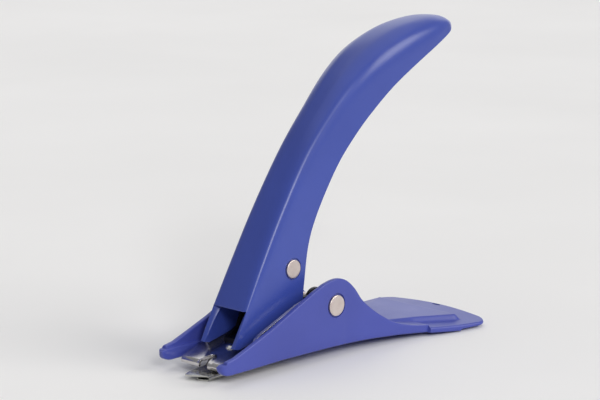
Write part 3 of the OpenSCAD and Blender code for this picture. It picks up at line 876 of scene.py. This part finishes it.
def build_jaw(bm):
    """Floor with its two curled fingers and raised notch lips, and side walls."""
    for sign in (-1, 1):
        top_rows, low_rows = [], []
        for x, z, nx, nz in jaw_profile():
            inner, outer = lerp_at(NOTCH, x), lerp_at(FLOOR_HALF, x)
            top, low = [], []
            for k in range(19):
                u = (k / 18) ** 1.5
                y = inner + (outer - inner) * u
                lip = LIP * ease(1 - (y - inner) / 1.1) * ease((-49.6 - x) / 1.2)
                thick = FRAME_T if x > -52 else FRAME_T - 0.35 * ease((-52 - x) / 2)
                top.append(at(x + nx * lip, sign * y, z + nz * lip))
                low.append(at(x + nx * (lip - thick), sign * y, z + nz * (lip - thick)))
            top_rows.append(top)
            low_rows.append(low)
        top, low = plate(bm, top_rows, low_rows, ("first", "last", "end"))
        first = [row[0] for row in jaw_profile()].index(NOTCH_END)
        bridge(bm, [row[0] for row in top[first:]], [row[0] for row in low[first:]])
    bmesh.ops.remove_doubles(bm, verts=bm.verts, dist=0.001 * MM)
    wall = ([(-16, floor_at(-16) - 0.3), (-43.8, floor_at(-43.8) - 0.3), (-43.8, 10.9),
             (-43.4, 11.8), (-42.6, 12.4), (-41, 13.3), (-35.3, 15.6), (-24.6, 19.8)]
            + arc(PIVOT_X, PIVOT_Z, WALL_R, WALL_R, 107, -70, 40))
    for y0, y1 in ((-FRAME_HALF, -FRAME_HALF + FRAME_T), (FRAME_HALF - FRAME_T, FRAME_HALF)):
        slab(bm, wall, y0, y1)


jaw = new_object("jaw_pressing", build_jaw, JAW, "lever_body")
round_edges(jaw, 0.16, 3)
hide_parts("jaw_frame")

# --------------------------------------------------------------- lifting blade

ROLL_SIDE = 5.9      # from the centre line to the roll's outer side
ROLL_R = 1.0
BLADE_FAR = 4.2      # from the centre line to the front's far corner
BLADE_T = 0.5
JOGGLE_X = -51.0     # where the flat front ends and the tab climbs to the frame
TAB_ROOT = 5.1       # half width of the tab there
TAB_HALF = 4.4       # and where it lies under the frame
TAB_END = -29.0
TAB_ROUND = 1.6      # how far the tab's end is narrowed

# Front outline of the blade as (y, x), near side first
NOSE_OUTLINE = [(-ROLL_SIDE, -58.2), (-4.8, -58.9), (-3.0, -59.8), (-0.7, -60.8), (0.8, -61.2),
                (1.8, -61.5), (2.1, -61.2), (2.35, -60.4), (BLADE_FAR, -51.2)]


def blade_section():
    """The blade's cross-section as (y, z, ny, nz): from its far edge, across
    the top, round the roll and back under it, then up to the roll's inner edge."""
    rows = [(y, 2 * ROLL_R, 0, 1)
            for y in (BLADE_FAR, 3.8, 3.3, 2.8, 2.4, 2.1, 1.95, 1.8, 1.3, 0.8, 0, -0.7, -1.6,
                      -2.4, -3.2, -4.0, -4.5)]
    cy, cz = -ROLL_SIDE + ROLL_R, ROLL_R
    rows += [(cy + ROLL_R * y, cz + ROLL_R * z, y, z)
             for y, z in arc(0, 0, 1, 1, 90, 270, 15)]
    rows += [(y, 0.0, 0, -1) for y in (-4.4, -4.0, -3.6, -3.2, -2.9)]
    rows += [(-2.7 + 0.7 * math.cos(a), 0.7 + 0.7 * math.sin(a), math.cos(a), math.sin(a))
             for a in (math.radians(d) for d in range(-75, 16, 15))]
    rows += [(-2.02, 1.15, 1, 0.1)]
    return rows


def nose_x(y, z):
    """Where the blade begins, at y: the underside is cut back a little."""
    return lerp_at(NOSE_OUTLINE, y) + 0.5 * (1 - min(z / 1.8, 1.0))


def build_blade(bm):
    """The pointed front with its rolled near half, and the joggled tab."""
    outer, inner = [], []
    for i in range(17):
        out_row, in_row = [], []
        for y, z, ny, nz in blade_section():
            front = nose_x(y, z)
            x = front + (JOGGLE_X - front) * i / 16
            dip = 0.3 * ease((-58.8 - x) / 2.7) if nz > 0.9 else 0.0
            out_row.append(at(x, y, z - dip))
            in_row.append(at(x, y - ny * BLADE_T, z - dip - nz * BLADE_T))
        outer.append(out_row)
        inner.append(in_row)
    plate(bm, outer, inner)
    profile = ([(JOGGLE_X - 0.2, 2.0), (-50.6, 2.02), (-50.1, 2.2), (-49.4, 2.9), (-48.6, 3.9),
                (-47.9, 4.8), (-47.4, under_at(-47.4) - 0.06), (-46.6, under_at(-46.6) - 0.02)]
               + [(x, under_at(x) - 0.02) for x in (-44, -40, -36, -32, -30.2, -29.4, TAB_END)])
    top_rows, low_rows = [], []
    for i, (x, z) in enumerate(profile):
        (x0, z0), (x1, z1) = profile[max(i - 1, 0)], profile[min(i + 1, len(profile) - 1)]
        lean = math.hypot(x1 - x0, z1 - z0)
        nx, nz = -(z1 - z0) / lean, (x1 - x0) / lean
        half = TAB_ROOT - (TAB_ROOT - TAB_HALF) * ease((x - JOGGLE_X - 0.5) / 3.2)
        half -= TAB_ROUND * ease((x - TAB_END) / TAB_ROUND + 1)
        far = min(half, BLADE_FAR + (TAB_HALF - BLADE_FAR) * ease((x - JOGGLE_X) / 2.4))
        ys = [-half + (far + half) * k / 20 for k in range(21)]
        top_rows.append([at(x, y, z) for y in ys])
        low_rows.append([at(x - nx * BLADE_T, y, z - nz * BLADE_T) for y in ys])
    plate(bm, top_rows, low_rows)


blade = new_object("lifting_blade_pressing", build_blade, BLADE, "lever_body")
round_edges(blade, 0.1, 3)
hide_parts("lifting_blade")

# --------------------------------------------------------------------- springs

WIRE_R = 0.45
COIL_R = 3.9
COIL_TURNS = 3
ENTER, LEAVE = 272, 238   # where the legs meet the coil, in degrees
COIL_PITCH = 1.05
LEG_LENGTH = 12.6
COIL_Y = 8.1              # from the centre line to the coil's middle
COIL_STEPS = 84


def build_springs(bm):
    """Two coils on the pivot sleeves, each with its two straight legs."""
    wind = COIL_TURNS * 360 + LEAVE - ENTER
    half = COIL_PITCH * wind / 720
    for sign in (-1, 1):
        path = []
        for i in range(COIL_STEPS + 1):
            angle = math.radians(ENTER + wind * i / COIL_STEPS)
            path.append((PIVOT_X + COIL_R * math.cos(angle),
                         sign * (COIL_Y + half - 2 * half * i / COIL_STEPS),
                         PIVOT_Z + COIL_R * math.sin(angle)))
        for end, angle, reach in ((0, ENTER, -LEG_LENGTH), (-1, LEAVE, LEG_LENGTH)):
            x, y, z = path[end]
            a = math.radians(angle)
            leg = [(x - reach * t * math.sin(a), y, z + reach * t * math.cos(a))
                   for t in (0.15, 0.4, 0.7, 1.0)]
            path = list(reversed(leg)) + path if end == 0 else path + leg
        sweep(bm, path, WIRE_R)


springs = new_object("return_spring_coils", build_springs, SPRING, "base_body")
round_edges(springs, 0.12, 2, 60)
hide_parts("return_springs")

# ------------------------------------------------- carried-over CAD materials

for node, material in (("pivot_washers", WASHER), ("handle_spacer", SLEEVE),
                       ("core_bracket", BRACKET_PAINTED_SHADE), ("blade_rivets", SMALL_RIVET),
                       ("pivot_sleeves", SLEEVE)):
    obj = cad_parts[node]
    obj.data.materials.clear()
    obj.data.materials.append(material)

# ---------------------------------------------------------- stage and camera

def build_stage():
    """The plain pale floor."""
    mesh = bpy.data.meshes.new("table_top")
    mesh.from_pydata([(-3, -3, 0), (3, -3, 0), (3, 3, 0), (-3, 3, 0)], [], [(0, 1, 2, 3)])
    floor = bpy.data.objects.new("table_top", mesh)
    bpy.context.collection.objects.link(floor)
    material, nodes, links, main = shader("table_paper", 0.75)
    tint = noise(nodes, links, 6.0, 3.0)
    colour = ramp(nodes, links, tint.outputs["Fac"],
                  [(0.3, (0.86, 0.85, 0.84, 1)), (0.7, (0.89, 0.88, 0.87, 1))])
    links.new(colour.outputs["Color"], main.inputs["Base Color"])
    mesh.materials.append(material)


def sun_light(name, towards, strength, angle, colour):
    """A large, even, far light shining from the direction towards."""
    data = bpy.data.lights.new(name, "SUN")
    data.energy = strength
    data.angle = math.radians(angle)
    data.color = colour
    light = bpy.data.objects.new(name, data)
    light.rotation_euler = Vector(towards).to_track_quat("Z", "Y").to_euler()
    bpy.context.collection.objects.link(light)


def build_light():
    """A pale surround and four wide suns."""
    world = bpy.data.worlds.new("studio")
    bpy.context.scene.world = world
    world.use_nodes = True
    back = world.node_tree.nodes["Background"]
    back.inputs["Color"].default_value = (0.96, 0.97, 1.0, 1)
    back.inputs["Strength"].default_value = 0.30
    sun_light("key", (0.45, -0.72, 0.5), 1.3, 34, (1.0, 0.98, 0.95))
    sun_light("front", (-0.38, -0.76, 0.48), 0.95, 16, (1.0, 1.0, 1.0))
    sun_light("top", (0.05, 0.12, 0.95), 0.62, 70, (1.0, 1.0, 1.0))
    sun_light("rear", (0.72, 0.68, 0.3), 0.66, 60, (0.97, 0.98, 1.0))


def build_camera():
    """The photo's viewing angle, through a long lens."""
    data = bpy.data.cameras.new("camera")
    data.sensor_width = 36
    data.lens = 132
    data.clip_start, data.clip_end = 0.01, 20
    camera = bpy.data.objects.new("camera", data)
    place = at(-516.7, -491.3, 194.6)
    aim = at(-11.3, 0, 50.8)
    camera.location = place
    camera.rotation_euler = (aim - place).to_track_quat("-Z", "Y").to_euler()
    bpy.context.collection.objects.link(camera)
    bpy.context.scene.camera = camera
    bpy.context.scene.view_settings.view_transform = "Standard"


build_stage()
build_light()
build_camera()
